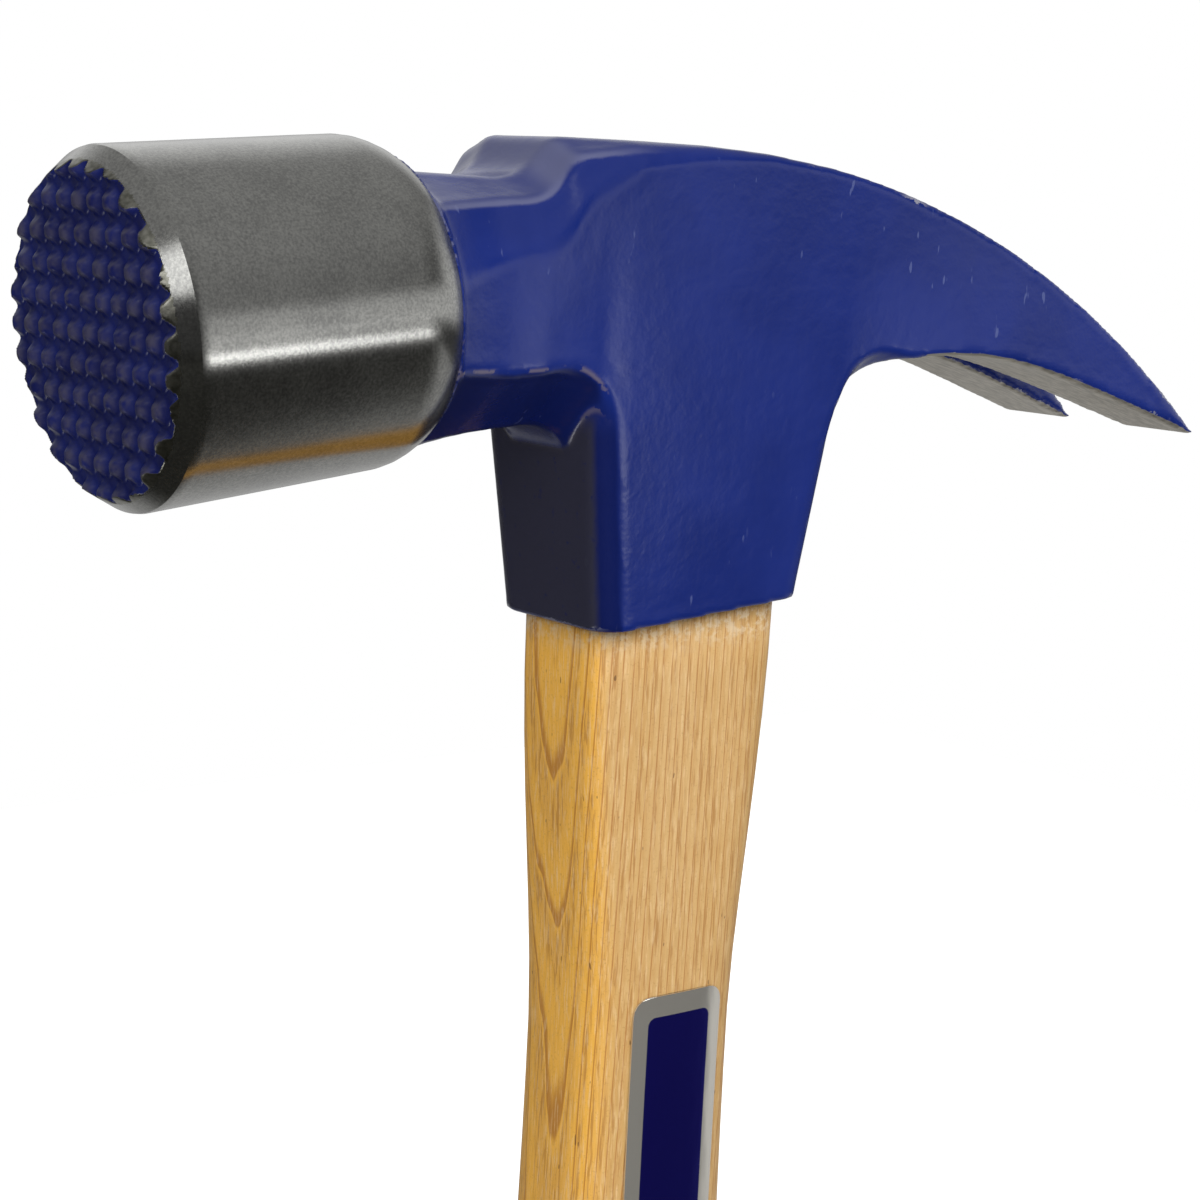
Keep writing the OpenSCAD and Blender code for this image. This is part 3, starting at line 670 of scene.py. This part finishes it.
glow = add(tree, "Math", {0: far, 1: 0.5, 2: 0.5}, operation="MULTIPLY_ADD")
glow = add(tree, "Math", {0: seen, 1: glow}, operation="MULTIPLY")
tree.links.new(glow, paper.inputs["Emission Strength"])
paper.inputs["Emission Color"].default_value = linear("#ffffff")
floor.data.materials.append(bpy.data.materials["pale_floor"])

# The studio round it, which the camera sees as plain white. Mirror surfaces see a dark room with a pale far
# wall, a ceiling, a bright right end and a belt of light along the horizon, and dull ones get a soft fill.
world = bpy.data.worlds.new("studio")
world.use_nodes = True
bpy.context.scene.world = world
tree = world.node_tree
rays = add(tree, "LightPath").node.outputs
sky = add(tree, "SeparateXYZ", {0: add(tree, "TexCoord", output="Generated")}).node.outputs
higher = overlap(tree, (sky["Z"], 0, 0.35))
higher = add(tree, "Math", {0: higher, 1: 0.85, 2: 0.15}, operation="MULTIPLY_ADD")
far_wall = overlap(tree, (sky["Y"], 0.1, 0.85), (sky["X"], -0.4, 0.3))
right_end = overlap(tree, (sky["X"], 0.75, 1), (sky["Z"], -0.12, 0))
ceiling = overlap(tree, (sky["Z"], 0.3, 0.8))
side_glow = overlap(tree, (sky["X"], 0.68, 0.5), (sky["X"], 0.1, 0.4))
near_horizon = ((sky["Z"], -0.11, -0.01), (sky["Z"], 0.3, 0.12))
belt = overlap(tree, *near_horizon, (sky["X"], 0.3, 0.5), (sky["Y"], 0.1, -0.1))
pale = 0
for part, strength in (
    (far_wall, higher),
    (right_end, 1),
    (ceiling, 0.36),
    (side_glow, 0.42),
    (belt, 0.9),
):
    lit = add(tree, "Math", {0: part, 1: strength}, operation="MULTIPLY")
    pale = add(tree, "Math", {0: pale, 1: lit}, operation="MAXIMUM")
mirrored = add(tree, "Math", {0: pale, 1: 0.93, 2: 0.07}, operation="MULTIPLY_ADD")
level = 0
for kind_of_ray, strength in (
    ("Is Glossy Ray", mirrored),
    ("Is Camera Ray", 1),
    ("Is Transmission Ray", 1),
    ("Is Diffuse Ray", 0.34),
):
    part = add(tree, "Math", {0: rays[kind_of_ray], 1: strength}, operation="MULTIPLY")
    level = add(tree, "Math", {0: level, 1: part}, operation="MAXIMUM")
backdrop = tree.nodes["Background"]
backdrop.inputs["Color"].default_value = linear("#ffffff")
tree.links.new(level, backdrop.inputs["Strength"])


# The lights: a key soft box high in front, and weaker ones on the left and behind, give the soft shadow.
# The last four are smaller, and only they are mirrored, as highlights on the poll, the enamel and the low
# edges.
def soft_box(name, place, aim, size, power, mirrored=True):
    data = bpy.data.lights.new(name, "AREA")
    data.shape = "RECTANGLE"
    data.size, data.size_y = size
    data.energy = power
    box = bpy.data.objects.new(name, data)
    bpy.context.scene.collection.objects.link(box)
    box.location = place
    box.visible_camera = False
    box.visible_glossy = mirrored
    box.rotation_euler = (Vector(aim) - Vector(place)).to_track_quat("-Z", "Y").to_euler()


under_head = (0, 0, 0.34)
down_handle = (0, 0, 0.25)
at_neck = (-0.05, 0, 0.385)
at_poll = (-0.07, 0, 0.385)
soft_box("key_light", (-0.1, -1.0, 1.1), under_head, (1.1, 0.9), 11, mirrored=False)
soft_box("left_light", (-0.8, -0.75, 0.45), under_head, (0.9, 0.8), 4.6, mirrored=False)
soft_box("back_light", (0.9, 0.9, 0.8), down_handle, (0.9, 0.9), 5, mirrored=False)
soft_box("card_light", (-0.74, -0.6, 0.84), under_head, (0.55, 0.42), 1.7)
soft_box("strip_light", (0.15, -0.332, 0.308), at_neck, (0.11, 0.028), 0.052)
soft_box("panel_light", (0.15, -0.332, 0.353), at_neck, (0.11, 0.055), 0.014)
soft_box("low_light", (-0.4, 0.17, 0.045), at_poll, (0.05, 0.05), 0.12)

# The camera stands where the photograph's stood, 27 cm from the middle of the head and just above it.
camera_stand = Vector((-174.801, -208.194, 400.256)) * mm
camera_yaw = math.radians(51.172)
camera_pitch = math.radians(-9.27)
camera_roll = math.radians(2.977)
camera_data = bpy.data.cameras.new("camera")
camera_data.lens = 74.154
camera_data.sensor_width = 36
camera = bpy.data.objects.new("camera", camera_data)
bpy.context.scene.collection.objects.link(camera)
towards = Matrix.Rotation(camera_yaw - math.pi / 2, 4, "Z")
tilt = Matrix.Rotation(math.pi / 2 + camera_pitch, 4, "X")
roll = Matrix.Rotation(camera_roll, 4, "Z")
camera.matrix_world = Matrix.Translation(camera_stand) @ towards @ tilt @ roll
bpy.context.scene.camera = camera
bpy.context.scene.view_settings.view_transform = "Standard"
